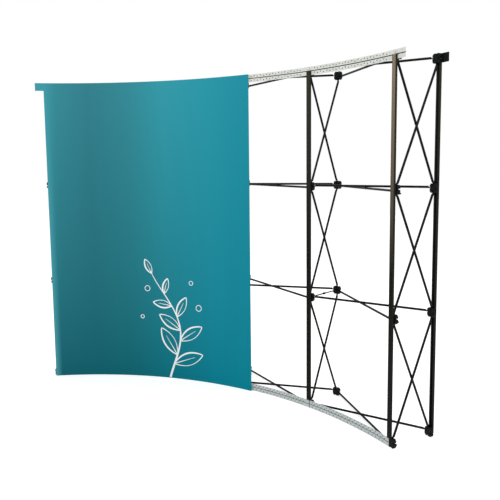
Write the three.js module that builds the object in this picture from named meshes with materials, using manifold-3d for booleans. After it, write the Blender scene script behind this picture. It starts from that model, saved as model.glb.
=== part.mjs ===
// Pop up display backwall: a curved folding lattice of crossed struts and four-armed hubs,
// dressed with upright channel bars, strips along its top and foot, and one printed film.
//
// Millimetres, +Z up. The wall is an arc in plan. Everything is first placed about the arc's
// centre, with the middle column at +Y and the hollow side, the front, facing -Y. Each column
// stands in its own radial plane: local x runs along the arc and local y is the radius.
import * as THREE from 'three';
import { mergeVertices } from 'three/addons/utils/BufferGeometryUtils.js';
import Module from 'manifold-3d';

const wasm = await Module();
wasm.setup();

// ---- the lattice ----
const BAYS = 4;
const ROWS = 3;
const LEVEL_SPACING = 725; // hub centre to hub centre up a column
const FRONT_RADIUS = 2318; // arc centre to the front hubs' centres
const FRAME_DEPTH = 288; // front hub centre to rear hub centre
const BAY_ANGLE = THREE.MathUtils.degToRad(17.13);
const FIT = 0.3; // clearance between pieces that touch

// ---- struts ----
const STRUT_DIAMETER = 14;
const STRUT_SIDES = 6;
const TONGUE_THICKNESS = 5; // flattened tip of a level strut, held in a hub's slot
const TONGUE_LENGTH = 12; // pin axis to the end of the flat
const TONGUE_TAPER = 8; // from the flat to the round tube
const PIN_DIAMETER = 4;
const PIN_SIDES = 5;
const PEG_SIDES = 6;
const RIVET_HEAD_DIAMETER = 10;
const RIVET_HEAD_THICKNESS = 1.5;

// ---- hubs ----
const HUB_REACH = 27; // centre to the end of each arm
const HUB_ARM_WIDTH = 42;
const HUB_DEPTH = 22; // measured along the radius
const HUB_CHAMFER = 4;
const FORK_SLOT_STEP = 0.4; // height between a left fork's slot and a right fork's
const HUB_PIN_REACH = 20; // hub centre to the strut pins
const HUB_PIN_INSET = 1; // fork pins' ends below the fork's faces
const HUB_BOSS_DIAMETER = 32;
const HUB_BOSS_HEIGHT = 2.5;
const BOSS_SIDES = 8;
const LUG_LENGTH = 25; // hook lug behind the outermost front hubs
const LUG_HEIGHT = 7;
const LUG_WIDTH = 8;
const LUG_TIP_LENGTH = 4; // upturned end of the lug

// ---- lock arms between the front and rear hubs of the inner columns ----
const LOCK_ARM_DIAMETER = 8;
const MAGNET_DIAMETER = 15;
const MAGNET_THICKNESS = 7;
const MAGNET_SIDES = 6;

// ---- upright bars ----
const BAR_WIDTH = 31;
const BAR_DEPTH = 12;
const BAR_WALL = 1.6;
const BAR_SLOT = 12; // open slot down the side that faces the hubs
const BAR_CHAMFER = 1.5;
const BAR_FOOT_GAP = 5; // bar's lower end above the bottom strip
const BAR_PLUG_HEIGHT = 9.7;
const BAR_PLUG_INSET = 0.2; // plug's faces inside the bar's front and back
const HANGER_DIAMETER = 8;
const HANGER_HEAD_WIDTH = 16;
const HANGER_HEAD_THICKNESS = 4;
const REAR_BAR_DROP = 10; // rear bar's lower end below the bottom hubs' centres

// ---- strips ----
const STRIP_HEIGHT = 52;
const STRIP_THICKNESS = 2;
const STRIP_STEPS = 5; // flat runs in each strip's arc
const STRIP_SEAM = 1.5;
const FOOT_SEAM = 5; // wider gap between the bottom strips
const FOOT_STRIP_STOP = 13; // outer bottom strips end this far inside the end columns
const WING_LENGTH = 76; // a wing's end past its end column, front and rear
const REAR_WING_GAP = 1.5; // from a rear bar's side to the wing beside it
const BUTTON_DIAMETER = 6;

// ---- printed film ----
const FILM_THICKNESS = 0.8;
const FILM_PAST_END = 16; // film's left edge beyond the left column's plane
const FILM_PAST_MIDDLE = 0.292; // share of a bay covered to the right of the middle column
const FILM_TAB_LENGTH = 60; // tab over the top strip's left wing
const FILM_TAB_HEIGHT = 56;
const FILM_FOOT_GAP = 1;
const FILM_STEPS = 20;

// ---- worked out from the sizes above ----
const REAR_RADIUS = FRONT_RADIUS + FRAME_DEPTH;
const COLUMNS = BAYS + 1;
const LEVELS = ROWS + 1;
const HALF_HUB = HUB_DEPTH / 2;
const HALF_ARC = (BAYS * BAY_ANGLE) / 2;
const tubeHalf = (STRUT_DIAMETER / 2) * Math.cos(Math.PI / STRUT_SIDES); // centre to a flat
const strutOffset = tubeHalf + FIT; // each strut's own side of the plane they cross in
const slotWidth = TONGUE_THICKNESS + 2 * FIT;
const hangerDrop = BAR_PLUG_HEIGHT + HANGER_DIAMETER / 2 + FIT; // below a hub's centre
const stripInset = HALF_HUB + FIT; // strip's back face in front of the hub centres
const frontBarInset = stripInset + STRIP_THICKNESS + FIT;
const rearBarInset = HALF_HUB + FIT;
const filmInset = frontBarInset + BAR_DEPTH + FIT;
const wallHeight = ROWS * LEVEL_SPACING + 2 * HUB_REACH;
const levelHeight = (level) => HUB_REACH + level * LEVEL_SPACING;
const columnAngle = (column) => column * BAY_ANGLE - HALF_ARC;
const isEndColumn = (column) => column === 0 || column === BAYS;
const TOP_LEVEL = ROWS;

// ---- finishes ----
const finish = (color, roughness, metalness) =>
  new THREE.MeshStandardMaterial({ color, roughness, metalness, flatShading: true });
const hubPlastic = finish('#15171A', 0.5, 0);
const strutPaint = finish('#17191B', 0.4, 0.2);
const barPaint = finish('#3A3933', 0.45, 0.3);
const stripPlastic = finish('#E1E2DC', 0.5, 0);
const filmPrint = finish('#2C8996', 0.35, 0);

// ---- solids ----

// A closed geometry as a solid: corners that coincide are merged first.
function solid(geometry) {
  geometry.deleteAttribute('normal');
  geometry.deleteAttribute('uv');
  const merged = mergeVertices(geometry, 1e-4);
  return new wasm.Manifold(
    new wasm.Mesh({
      numProp: 3,
      vertProperties: new Float32Array(merged.attributes.position.array),
      triVerts: new Uint32Array(merged.index.array),
    }),
  );
}

function geometryOf(body) {
  const { vertProperties, triVerts } = body.getMesh();
  const geometry = new THREE.BufferGeometry();
  geometry.setAttribute('position', new THREE.BufferAttribute(vertProperties, 3));
  geometry.setIndex(new THREE.BufferAttribute(triVerts, 1));
  geometry.computeVertexNormals();
  return geometry;
}

const join = (bodies) => bodies.reduce((whole, body) => whole.add(body));

function box(width, depth, height, x, y, z) {
  return solid(new THREE.BoxGeometry(width, depth, height).translate(x, y, z));
}

// A round bar along one axis, 'x', 'y' or 'z', centred on a point.
function rod(axis, diameter, length, x, y, z, sides) {
  const turn = Math.PI / sides;
  const geometry = new THREE.CylinderGeometry(
    diameter / 2, diameter / 2, length, sides, 1, false, turn);
  if (axis === 'x') geometry.rotateZ(-Math.PI / 2);
  if (axis === 'z') geometry.rotateX(Math.PI / 2);
  return solid(geometry.translate(x, y, z));
}

function extrude(shape, height, curveSegments = 1) {
  return new THREE.ExtrudeGeometry(shape, { depth: height, bevelEnabled: false, curveSegments });
}

// A slab that follows the arc: between two radii and two angles, standing from z.
function arcSlab(inner, outer, from, to, z, height, steps) {
  const shape = new THREE.Shape();
  const start = Math.PI / 2 - from;
  const end = Math.PI / 2 - to;
  shape.absarc(0, 0, outer, start, end, true);
  shape.absarc(0, 0, inner, end, start, false);
  shape.closePath();
  return solid(extrude(shape, height, steps).translate(0, 0, z));
}

// ---- hub: chamfered arms up and down, and forks left and right for the level struts ----

function hubOutline() {
  const half = HUB_ARM_WIDTH / 2;
  const corner = [half, half];
  const forkArm = [[HUB_REACH, -half], [HUB_REACH, half], corner];
  const chamfered = [
    [HUB_REACH - HUB_CHAMFER, -half], [HUB_REACH, HUB_CHAMFER - half],
    [HUB_REACH, half - HUB_CHAMFER], [HUB_REACH - HUB_CHAMFER, half], corner,
  ];
  const outline = [];
  for (let turn = 0; turn < 4; turn += 1) {
    const cos = Math.round(Math.cos((turn * Math.PI) / 2));
    const sin = Math.round(Math.sin((turn * Math.PI) / 2));
    const arm = turn % 2 === 0 ? forkArm : chamfered;
    arm.forEach(([x, y]) => outline.push(new THREE.Vector2(x * cos - y * sin, x * sin + y * cos)));
  }
  return outline;
}

// Height of a level strut's tongue above the hub's centre: type 'a' struts run above, 'b' below.
const tongueHeight = (sign) => (sign * (slotWidth + FORK_SLOT_STEP)) / 2;

function hubBody(isFront) {
  const plate = extrude(new THREE.Shape(hubOutline()), HUB_DEPTH);
  let body = solid(plate.rotateX(Math.PI / 2).translate(0, HALF_HUB, 0));
  const slotStart = HUB_PIN_REACH - STRUT_DIAMETER * Math.SQRT1_2 - 2 * FIT;
  const slotLength = HUB_REACH - slotStart + 1;
  for (const side of [-1, 1]) {
    const sign = isFront ? side : -side;
    const middle = side * (slotStart + slotLength / 2);
    body = body.subtract(box(slotLength, HUB_DEPTH + 2, slotWidth, middle, 0, tongueHeight(sign)));
    const pinLength = HUB_ARM_WIDTH - 2 * HUB_PIN_INSET;
    body = body.add(rod('z', PIN_DIAMETER, pinLength, side * HUB_PIN_REACH, 0, 0, PIN_SIDES));
  }
  return body;
}

// A T-shaped peg that a bar's slot slides over; gap is from the hub's face to the bar.
function hanger(direction, gap) {
  const headGap = BAR_WALL + FIT;
  const stemLength = gap + headGap + 1;
  const stemMiddle = direction * (HALF_HUB - 1 + stemLength / 2);
  const headMiddle = direction * (HALF_HUB + gap + headGap + HANGER_HEAD_THICKNESS / 2);
  const stem = rod('y', HANGER_DIAMETER, stemLength, 0, stemMiddle, -hangerDrop, PEG_SIDES);
  const headHeight = HANGER_DIAMETER * Math.cos(Math.PI / PEG_SIDES);
  return stem.add(
    box(HANGER_HEAD_WIDTH, HANGER_HEAD_THICKNESS, headHeight, 0, headMiddle, -hangerDrop));
}

// A short flush peg that the strips' ends sit on.
function button(x, z) {
  const length = FIT + STRIP_THICKNESS + 1;
  return rod('y', BUTTON_DIAMETER, length, x, -(HALF_HUB - 1 + length / 2), z, PEG_SIDES);
}

function hookLug() {
  const z = LUG_HEIGHT / 2 - HUB_REACH;
  const end = HALF_HUB + LUG_LENGTH;
  const tipHeight = LUG_HEIGHT / 2;
  const tip = box(
    LUG_WIDTH, LUG_TIP_LENGTH, tipHeight, 0, end - LUG_TIP_LENGTH / 2, z + LUG_HEIGHT / 2);
  return box(LUG_WIDTH, LUG_LENGTH + 1, LUG_HEIGHT, 0, end - (LUG_LENGTH + 1) / 2, z).add(tip);
}

// A plate from the back of a top rear corner hub, past the column; side is -1 left, 1 right.
function rearWing(side) {
  const root = BAR_WIDTH / 2 + REAR_WING_GAP;
  const thickness = STRIP_THICKNESS + 1;
  const middle = HALF_HUB + STRIP_THICKNESS - thickness / 2;
  return box(
    WING_LENGTH - root, thickness, STRIP_HEIGHT, (side * (root + WING_LENGTH)) / 2, middle, 0);
}

// Half of a lock arm: a stem from the hub towards the other hub, with a magnet cup at its tip.
function lockArm(direction) {
  const tip = FRAME_DEPTH / 2 - FIT / 2;
  const stemLength = tip - HALF_HUB + 1 - MAGNET_THICKNESS / 2;
  const stemMiddle = direction * (HALF_HUB - 1 + stemLength / 2);
  const stem = rod('y', LOCK_ARM_DIAMETER, stemLength, 0, stemMiddle, 0, PEG_SIDES);
  const cupMiddle = direction * (tip - MAGNET_THICKNESS / 2);
  return stem.add(rod('y', MAGNET_DIAMETER, MAGNET_THICKNESS, 0, cupMiddle, 0, MAGNET_SIDES));
}

function frontHub(column, level) {
  const inward = Math.sign(BAYS / 2 - column);
  const parts = [hubBody(true)];
  if (level > 0) parts.push(hanger(-1, frontBarInset - HALF_HUB));
  if (level === TOP_LEVEL) parts.push(button(0, hangerDrop));
  if (level === 0 && isEndColumn(column)) parts.push(button(inward * HUB_PIN_REACH, 0));
  if (level === 0 && !isEndColumn(column)) {
    parts.push(button(0, hangerDrop), button(0, -hangerDrop));
  }
  if (isEndColumn(column) && level < TOP_LEVEL) parts.push(hookLug());
  if (!isEndColumn(column) && level > 0 && level < TOP_LEVEL) parts.push(lockArm(1));
  return join(parts).translate([0, FRONT_RADIUS, levelHeight(level)]);
}

function rearHub(column, level) {
  const parts = [hubBody(false)];
  if (isEndColumn(column)) {
    if (level > 0) parts.push(hanger(1, rearBarInset - HALF_HUB));
    if (level === TOP_LEVEL) parts.push(rearWing(Math.sign(column - BAYS / 2)));
  } else {
    const bossMiddle = HALF_HUB + HUB_BOSS_HEIGHT / 2 - 0.5;
    parts.push(rod('y', HUB_BOSS_DIAMETER, HUB_BOSS_HEIGHT + 1, 0, bossMiddle, 0, BOSS_SIDES));
    if (level > 0 && level < TOP_LEVEL) parts.push(lockArm(-1));
  }
  return join(parts).translate([0, REAR_RADIUS, levelHeight(level)]);
}

// ---- column: two zigzag chains of hubs and upright struts that cross once in every row ----

function uprightStrut(lowY, highY, level, sign) {
  const low = new THREE.Vector3(0, lowY, levelHeight(level) + HUB_PIN_REACH);
  const high = new THREE.Vector3(0, highY, levelHeight(level + 1) - HUB_PIN_REACH);
  const run = high.clone().sub(low);
  const middle = low.clone().add(high).multiplyScalar(0.5);
  const tube = new THREE.CylinderGeometry(
    STRUT_DIAMETER / 2, STRUT_DIAMETER / 2, run.length(), STRUT_SIDES, 1, false,
    Math.PI / 2 + Math.PI / STRUT_SIDES);
  tube.rotateX(Math.atan2(run.z, run.y));
  return solid(tube.translate(sign * strutOffset, middle.y, middle.z));
}

// The rivet of a crossing belongs to one strut and passes through a hole in the other.
function rivet(axis, sign, x, y, z) {
  const far = strutOffset + tubeHalf + FIT;
  const shank = far + RIVET_HEAD_THICKNESS + strutOffset;
  const shankMiddle = sign * (strutOffset - shank / 2);
  const headMiddle = -sign * (far + RIVET_HEAD_THICKNESS / 2);
  const at = (offset) => (axis === 'x' ? [x + offset, y, z] : [x, y, z + offset]);
  const body = rod(axis, PIN_DIAMETER, shank, ...at(shankMiddle), PIN_SIDES);
  return body.add(
    rod(axis, RIVET_HEAD_DIAMETER, RIVET_HEAD_THICKNESS, ...at(headMiddle), PEG_SIDES));
}

function rivetHole(axis, x, y, z) {
  const bore = (PIN_DIAMETER + 2 * FIT) / Math.cos(Math.PI / PIN_SIDES);
  return rod(axis, bore, 4 * STRUT_DIAMETER, x, y, z, PIN_SIDES);
}

function columnChain(column, isFirst) {
  const sign = isFirst ? 1 : -1;
  const onFront = (level) => (level % 2 === 0) === isFirst;
  const radiusAt = (level) => (onFront(level) ? FRONT_RADIUS : REAR_RADIUS);
  let chain = null;
  for (let level = 0; level < ROWS; level += 1) {
    const strut = uprightStrut(radiusAt(level), radiusAt(level + 1), level, sign);
    const middle = [0, FRONT_RADIUS + FRAME_DEPTH / 2, levelHeight(level) + LEVEL_SPACING / 2];
    const crossed = isFirst
      ? strut.add(rivet('x', sign, ...middle))
      : strut.subtract(rivetHole('x', ...middle));
    chain = chain ? chain.add(crossed) : crossed;
  }
  for (let level = 0; level < LEVELS; level += 1) {
    chain = chain.add(onFront(level) ? frontHub(column, level) : rearHub(column, level));
  }
  return geometryOf(chain);
}

// ---- level struts: two cross in every bay of every level ----

const bayCos = Math.cos(BAY_ANGLE / 2);
const baySin = Math.sin(BAY_ANGLE / 2);
const frontPin = {
  x: FRONT_RADIUS * baySin - HUB_PIN_REACH * bayCos,
  y: FRONT_RADIUS * bayCos + HUB_PIN_REACH * baySin,
};
const rearPin = {
  x: REAR_RADIUS * baySin - HUB_PIN_REACH * bayCos,
  y: REAR_RADIUS * bayCos + HUB_PIN_REACH * baySin,
};
const levelStrutLength = Math.hypot(frontPin.x + rearPin.x, rearPin.y - frontPin.y);
const crossingShare = frontPin.x / (frontPin.x + rearPin.x); // from the front pin

// One ring of a strut's skin, square to x: flat is 0 for the round tube, 1 for the crushed tip.
function strutRing(x, flat, z) {
  const radius = STRUT_DIAMETER / 2;
  const squash = 1 + flat * (TONGUE_THICKNESS / 2 / tubeHalf - 1);
  const ring = [];
  for (let side = 0; side < STRUT_SIDES; side += 1) {
    const angle = Math.PI / 2 + ((2 * side + 1) * Math.PI) / STRUT_SIDES;
    const cos = Math.cos(angle);
    const widened = Math.sign(cos) * Math.abs(cos) ** (1 - 0.7 * flat);
    ring.push(x, radius * widened, z + radius * Math.sin(angle) * squash);
  }
  return ring;
}

// Skins a row of rings and closes both ends.
function loft(rings, sides) {
  const index = [];
  for (let ring = 0; ring < rings.length - 1; ring += 1) {
    for (let side = 0; side < sides; side += 1) {
      const a = ring * sides + side;
      const b = ring * sides + ((side + 1) % sides);
      index.push(a, b, b + sides, a, b + sides, a + sides);
    }
  }
  const last = (rings.length - 1) * sides;
  for (let side = 1; side < sides - 1; side += 1) {
    index.push(0, side + 1, side, last, last + side, last + side + 1);
  }
  const geometry = new THREE.BufferGeometry();
  geometry.setAttribute('position', new THREE.Float32BufferAttribute(rings.flat(), 3));
  geometry.setIndex(index);
  return solid(geometry);
}

// Lies along +x from its first pin; sign 1 is the upper strut with the rivet, -1 the lower.
function levelStrut(sign, crossing) {
  const tip = STRUT_DIAMETER / 2;
  const tubeZ = sign * strutOffset;
  const tipZ = tongueHeight(sign);
  const round = TONGUE_LENGTH + TONGUE_TAPER;
  const whole = loft([
    strutRing(-tip, 1, tipZ),
    strutRing(TONGUE_LENGTH, 1, tipZ),
    strutRing(round, 0, tubeZ),
    strutRing(levelStrutLength - round, 0, tubeZ),
    strutRing(levelStrutLength - TONGUE_LENGTH, 1, tipZ),
    strutRing(levelStrutLength + tip, 1, tipZ),
  ], STRUT_SIDES)
    .subtract(rivetHole('z', 0, 0, 0))
    .subtract(rivetHole('z', levelStrutLength, 0, 0));
  const at = crossing * levelStrutLength;
  const crossed = sign > 0
    ? whole.add(rivet('z', sign, at, 0, 0))
    : whole.subtract(rivetHole('z', at, 0, 0));
  return geometryOf(crossed);
}

// ---- bars: a channel open towards the hubs, with a plug that hangs on the top peg ----

function barChannel(direction, inset, radius, low, high) {
  const near = radius + direction * inset;
  const far = near + direction * BAR_DEPTH;
  const wall = direction * BAR_WALL;
  const half = BAR_WIDTH / 2;
  const cut = direction * BAR_CHAMFER;
  const right = [
    [BAR_SLOT / 2, near], [half, near], [half, far - cut], [half - BAR_CHAMFER, far],
  ];
  const inside = [
    [half - BAR_WALL, far - wall], [half - BAR_WALL, near + wall], [BAR_SLOT / 2, near + wall],
  ];
  const mirrored = (points) => points.map(([x, y]) => [-x, y]).reverse();
  const outline = [...right, ...mirrored(right), ...mirrored(inside), ...inside]
    .map(([x, y]) => new THREE.Vector2(x, y));
  return solid(extrude(new THREE.Shape(outline), high - low).translate(0, 0, low));
}

function barPlug(direction, inset, radius, high) {
  const middle = radius + direction * (inset + BAR_DEPTH / 2);
  const width = BAR_WIDTH - BAR_WALL;
  return box(width, BAR_DEPTH - 2 * BAR_PLUG_INSET, BAR_PLUG_HEIGHT, 0, middle, high - BAR_PLUG_HEIGHT / 2);
}

function frontBar() {
  const high = levelHeight(TOP_LEVEL);
  const low = levelHeight(0) + STRIP_HEIGHT / 2 + BAR_FOOT_GAP;
  const channel = barChannel(-1, frontBarInset, FRONT_RADIUS, low, high);
  return geometryOf(channel.add(barPlug(-1, frontBarInset, FRONT_RADIUS, high)));
}

function rearBar() {
  const high = levelHeight(TOP_LEVEL);
  const low = levelHeight(0) - REAR_BAR_DROP;
  const channel = barChannel(1, rearBarInset, REAR_RADIUS, low, high);
  return geometryOf(channel.add(barPlug(1, rearBarInset, REAR_RADIUS, high)));
}

// ---- strips ----

const stripOuter = FRONT_RADIUS - stripInset;
const stripInner = stripOuter - STRIP_THICKNESS;
const arcOf = (length) => length / stripOuter;

// A hole or notch through a strip on a column's plane, with room round the peg in it.
function pegHole(angle, diameter, x, z) {
  const bore = rod(
    'y', diameter + 4 * FIT, 6 * STRIP_THICKNESS, x, (stripInner + stripOuter) / 2, z, PEG_SIDES);
  return bore.rotate([0, 0, -THREE.MathUtils.radToDeg(angle)]);
}

function topStrip(bay) {
  const from = columnAngle(bay);
  const to = columnAngle(bay + 1);
  const z = levelHeight(TOP_LEVEL);
  const gap = arcOf(STRIP_SEAM / 2);
  const low = z - STRIP_HEIGHT / 2;
  let strip = arcSlab(stripInner, stripOuter, from + gap, to - gap, low, STRIP_HEIGHT, STRIP_STEPS);
  for (const angle of [from, to]) {
    strip = strip
      .subtract(pegHole(angle, HANGER_DIAMETER, 0, z - hangerDrop))
      .subtract(pegHole(angle, BUTTON_DIAMETER, 0, z + hangerDrop));
  }
  return geometryOf(strip);
}

function bottomStrip(bay) {
  const z = levelHeight(0);
  const low = z - STRIP_HEIGHT / 2;
  const outerStop = arcOf(FOOT_STRIP_STOP);
  const seam = arcOf(FOOT_SEAM / 2);
  const from = columnAngle(bay) + (bay === 0 ? outerStop : seam);
  const to = columnAngle(bay + 1) - (bay === BAYS - 1 ? outerStop : seam);
  let strip = arcSlab(stripInner, stripOuter, from, to, low, STRIP_HEIGHT, STRIP_STEPS);
  for (const column of [bay, bay + 1]) {
    const inward = Math.sign(BAYS / 2 - column);
    const pegs = isEndColumn(column)
      ? [[inward * HUB_PIN_REACH, z]]
      : [[0, z - hangerDrop], [0, z + hangerDrop]];
    pegs.forEach(([x, height]) => {
      strip = strip.subtract(pegHole(columnAngle(column), BUTTON_DIAMETER, x, height));
    });
  }
  return geometryOf(strip);
}

// The top strip's run past an end column, on the same pegs.
function topWing(side) {
  const angle = side * HALF_ARC;
  const z = levelHeight(TOP_LEVEL);
  const inner = angle + side * arcOf(STRIP_SEAM / 2);
  const outer = angle + side * arcOf(WING_LENGTH);
  const low = z - STRIP_HEIGHT / 2;
  const from = Math.min(inner, outer);
  const to = Math.max(inner, outer);
  const wing = arcSlab(stripInner, stripOuter, from, to, low, STRIP_HEIGHT, 3);
  return geometryOf(
    wing
      .subtract(pegHole(angle, HANGER_DIAMETER, 0, z - hangerDrop))
      .subtract(pegHole(angle, BUTTON_DIAMETER, 0, z + hangerDrop)),
  );
}

// ---- printed film: one sheet laid on the fronts of the bars, with a tab over the left wing ----

function film() {
  const outer = FRONT_RADIUS - filmInset;
  const inner = outer - FILM_THICKNESS;
  const left = -HALF_ARC - FILM_PAST_END / outer;
  const right = columnAngle(BAYS / 2) + FILM_PAST_MIDDLE * BAY_ANGLE;
  const sheet = arcSlab(
    inner, outer, left, right, FILM_FOOT_GAP, wallHeight - FILM_FOOT_GAP, FILM_STEPS);
  const tabLeft = left - FILM_TAB_LENGTH / outer;
  const tabRight = left + (right - left) / FILM_STEPS;
  const tab = arcSlab(
    inner, outer, tabLeft, left, wallHeight - FILM_TAB_HEIGHT, FILM_TAB_HEIGHT, 3);
  const lap = arcSlab(
    inner, outer, left, tabRight, wallHeight - FILM_TAB_HEIGHT, FILM_TAB_HEIGHT, 1);
  return geometryOf(join([sheet, tab, lap]));
}

// ---- the assembly ----

const wall = new THREE.Group();

function place(name, geometry, material, parent = wall) {
  const mesh = new THREE.Mesh(geometry, material);
  mesh.name = name;
  parent.add(mesh);
  return mesh;
}

for (let column = 0; column < COLUMNS; column += 1) {
  const plane = new THREE.Group();
  plane.rotation.z = -columnAngle(column);
  place(`column_${column + 1}_chain_a`, columnChain(column, true), hubPlastic, plane);
  place(`column_${column + 1}_chain_b`, columnChain(column, false), hubPlastic, plane);
  place(`front_bar_${column + 1}`, frontBar(), barPaint, plane);
  if (column === 0) place('rear_bar_left', rearBar(), barPaint, plane);
  if (column === BAYS) place('rear_bar_right', rearBar(), barPaint, plane);
  wall.add(plane);
}

const upperStrut = levelStrut(1, crossingShare);
const lowerStrut = levelStrut(-1, 1 - crossingShare);
const slope = Math.atan2(rearPin.y - frontPin.y, frontPin.x + rearPin.x);
for (let bay = 0; bay < BAYS; bay += 1) {
  const plane = new THREE.Group();
  plane.rotation.z = -(columnAngle(bay) + BAY_ANGLE / 2);
  for (let level = 0; level < LEVELS; level += 1) {
    const label = `bay_${bay + 1}_level_${level + 1}`;
    const upper = place(`${label}_strut_a`, upperStrut, strutPaint, plane);
    upper.position.set(-frontPin.x, frontPin.y, levelHeight(level));
    upper.rotation.z = slope;
    const lower = place(`${label}_strut_b`, lowerStrut, strutPaint, plane);
    lower.position.set(-rearPin.x, rearPin.y, levelHeight(level));
    lower.rotation.z = -slope;
  }
  wall.add(plane);
  place(`top_strip_${bay + 1}`, topStrip(bay), stripPlastic);
  place(`bottom_strip_${bay + 1}`, bottomStrip(bay), stripPlastic);
}

place('top_wing_left', topWing(-1), stripPlastic);
place('top_wing_right', topWing(1), stripPlastic);
place('printed_film', film(), filmPrint);

// The part's origin is the middle of its footprint, on the floor.
const bounds = new THREE.Box3().setFromObject(wall);
const middle = bounds.getCenter(new THREE.Vector3());
wall.position.set(-middle.x, -middle.y, -bounds.min.z);

export default wall;
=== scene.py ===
"""Looks of a curved pop up display backwall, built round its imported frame.

Lengths are millimetres until a piece's mesh is made, and places are taken about the arc's centre:
x along the wall, y the depth, z up. Column 0 is the left end and level 0 the foot.
"""
import math

import bpy
import numpy as np
from bpy.props import FloatProperty, StringProperty
from mathutils import Matrix, Vector


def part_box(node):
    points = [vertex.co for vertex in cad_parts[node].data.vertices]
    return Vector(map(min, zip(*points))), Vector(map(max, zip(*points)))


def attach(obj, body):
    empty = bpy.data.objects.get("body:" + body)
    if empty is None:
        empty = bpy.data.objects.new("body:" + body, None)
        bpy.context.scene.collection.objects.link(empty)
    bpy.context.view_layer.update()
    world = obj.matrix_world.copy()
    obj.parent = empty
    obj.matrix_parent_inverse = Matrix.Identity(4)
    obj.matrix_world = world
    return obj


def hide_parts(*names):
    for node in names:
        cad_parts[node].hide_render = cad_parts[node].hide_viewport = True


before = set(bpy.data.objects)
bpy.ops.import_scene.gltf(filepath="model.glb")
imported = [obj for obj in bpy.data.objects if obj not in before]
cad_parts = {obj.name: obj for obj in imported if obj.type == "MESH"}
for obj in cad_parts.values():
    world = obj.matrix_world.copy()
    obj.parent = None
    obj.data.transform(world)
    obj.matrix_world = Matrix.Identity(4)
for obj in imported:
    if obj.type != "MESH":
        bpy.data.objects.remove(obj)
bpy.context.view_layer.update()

bl_info = {
    "name": "Pop up backwall looks",
    "version": (1, 0, 0),
    "blender": (4, 5, 0),
    "location": "View3D > Sidebar > Backwall",
    "description": "Dresses the packed frame of a curved pop up display backwall",
    "category": "Add Mesh",
}

# ---- lattice, as the frame has it ----
BAYS = 4
ROWS = 3
LEVEL_SPACING = 725.0
FRONT_RADIUS = 2318.0
FRAME_DEPTH = 288.0
REAR_RADIUS = FRONT_RADIUS + FRAME_DEPTH
BAY_ANGLE = math.radians(17.13)
HALF_ARC = BAYS * BAY_ANGLE / 2
FIT = 0.3

# ---- hubs and struts ----
HUB_REACH = 27.0  # centre to the end of each arm
HUB_HALF_WIDTH = 21.0
HALF_HUB = 11.0  # half the depth of a hub along the radius
HUB_CORE = 12.0  # half the width of the block in the middle of a hub
PIN_REACH = 20.0  # hub centre to the strut pins
PIN_RADIUS = 2.6  # with the rim of its heads
# rise above the tube and radius, from the dome's crown to its rim and in to the shank
RIVET_HEAD = [(1.7, 0.4), (1.6, 2.2), (1.1, 3.9), (0.3, 4.9), (0.0, 5.0), (0.0, 2.0)]
MM = 1000.0  # millimetres in a metre
STRUT_DIAMETER = 14.0
TONGUE_THICKNESS = 5.0
TONGUE_LENGTH = 12.0
TONGUE_TAPER = 9.0
TONGUE_OFFSET = 3.0  # tongue's middle beside the hub's middle
STRUT_OFFSET = 6.36  # round tube's middle beside the plane of the crossing
SLOT_HALF = TONGUE_THICKNESS / 2 + FIT
DIMPLE_REACH = 16.0  # a tube is pressed flatter this far to each side of its rivet
HUB_INSIDE = HALF_HUB - 1.0  # pegs, lugs and bosses start here, inside the hub
HUB_EDGE = 1.2  # easing of the hub's rims
CORE_CORNER = 3.0
EAR_ROOT = 8.0  # a fork's ears start here, inside the core
EAR_CORNER = 3.5
SIDE_EAR_INSET = 0.4  # the side arms are this much shallower than the upright ones
PIN_PROUD = 0.7  # a pin's heads past its fork
PEG_RADIUS = 2.8
HANGER_RADIUS = 3.7
HANGER_HEAD = (16.0, 6.8, 4.0)  # width, height and thickness of the T
LUG_LENGTH = 25.0
LUG_WIDTH = 8.0
UPRIGHT = [(1, 0, 0), (0, 0, 1), (0, 1, 0)]  # a plate's axes when it faces along the radius

# ---- bars, strips and film, measured from the front hubs' centres towards the viewer ----
STRIP_BACK = HALF_HUB + FIT
STRIP_THICKNESS = 2.0
STRIP_HALF_HEIGHT = 26.0
STRIP_EDGE = 0.4
GROOVE_HALF = 2.4  # half the height of the groove along a strip
GROOVE_DEPTH = 0.9
SEAL_HALF = 2.3
SEAL_INSET = 0.2  # below the strip's face
HOLE_PROUD = 0.06  # a hole's dark plug past both faces, so that it shows
TOP_HOLES = (16.5, 11.0, -11.0, -16.5)  # rows, above the strip's middle
FOOT_HOLES = (17.0, 6.0, -14.0)
BAR_BACK = STRIP_BACK + STRIP_THICKNESS + FIT
REAR_BAR_BACK = HALF_HUB + FIT
BAR_WIDTH = 31.0
BAR_DEPTH = 12.0
BAR_WALL = 1.6
BAR_SLOT = 12.0
BAR_FOOT_GAP = 5.0
REAR_BAR_DROP = 10.0
TAPE_WIDTH = 24.0
TAPE_DEPTH = 0.9
TAPE_GAP = 0.2  # beside the tape in its seat
PLUG_INSET = 0.9
PLUG_LENGTH = 9.7
PEG_DROP = 14.0
WING_LENGTH = 76.0
REAR_WING_GAP = 1.5  # beside the rear bar
TOP_SEAM = 1.5
FOOT_SEAM = 5.0
FOOT_STOP = 13.0  # the foot strips' ends stand this far inside the end columns
FILM_BACK = BAR_BACK + BAR_DEPTH + FIT
FILM_THICKNESS = 0.8
FILM_PAST_END = 16.0
FILM_PAST_MIDDLE = 0.292  # share of a bay
FILM_TAB_LENGTH = 60.0
FILM_TAB_HEIGHT = 56.0
FILM_FOOT_GAP = 1.0
WALL_HEIGHT = ROWS * LEVEL_SPACING + 2 * HUB_REACH

bar_low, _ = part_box("front_bar_3")
ARC_CENTRE_Y = bar_low.y * MM - (FRONT_RADIUS - BAR_BACK - BAR_DEPTH)
SHARP_ANGLE = math.radians(35)


def level_height(level):
    """Height of a level's hub centres."""
    return HUB_REACH + level * LEVEL_SPACING


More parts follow.
